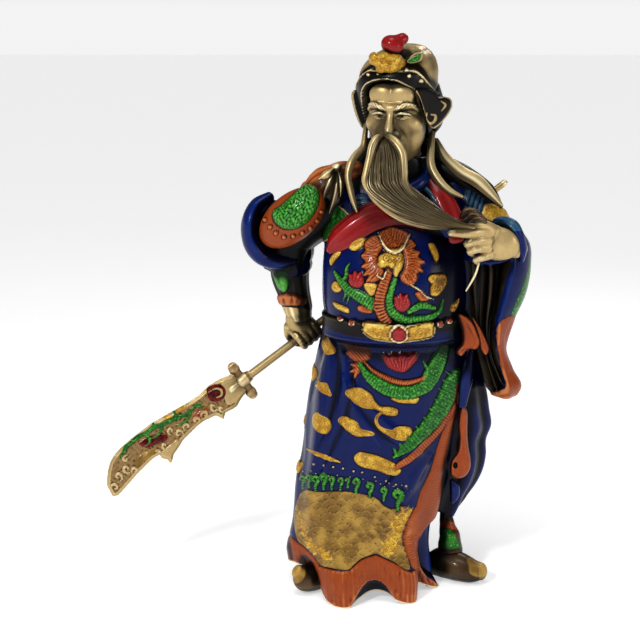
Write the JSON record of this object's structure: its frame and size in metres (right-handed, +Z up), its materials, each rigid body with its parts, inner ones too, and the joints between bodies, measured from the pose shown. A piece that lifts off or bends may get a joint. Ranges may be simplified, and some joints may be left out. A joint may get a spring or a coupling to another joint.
{
  "type": "guan yu statue",
  "caption": "Standing bearded general in robe and armour, enamelled cast brass, a hand at the beard and a long-handled glaive held low behind the back.",
  "frame": {"origin": "on the standing face, under the robe, midway between the front and back of its foot", "axes": "+Z up to the crest, -Y the way that the figure faces, +X the figure's left"},
  "size_m": [0.23, 0.1038, 0.3001],
  "materials": {
    "blue_enamel": "glossy cobalt enamel on cast brass",
    "brass": "aged cast brass, rubbed on the high places and dark in the recesses",
    "dark_patina": "dark brown patina on brass",
    "red_enamel": "glossy red enamel on cast brass",
    "green_enamel": "glossy green enamel with flakes",
    "orange_enamel": "satin orange enamel",
    "gold_enamel": "grainy golden yellow enamel"
  },
  "bodies": {
    "root": {"figure": "blue_enamel", "glaive": "brass"}
  },
  "joints": []
}
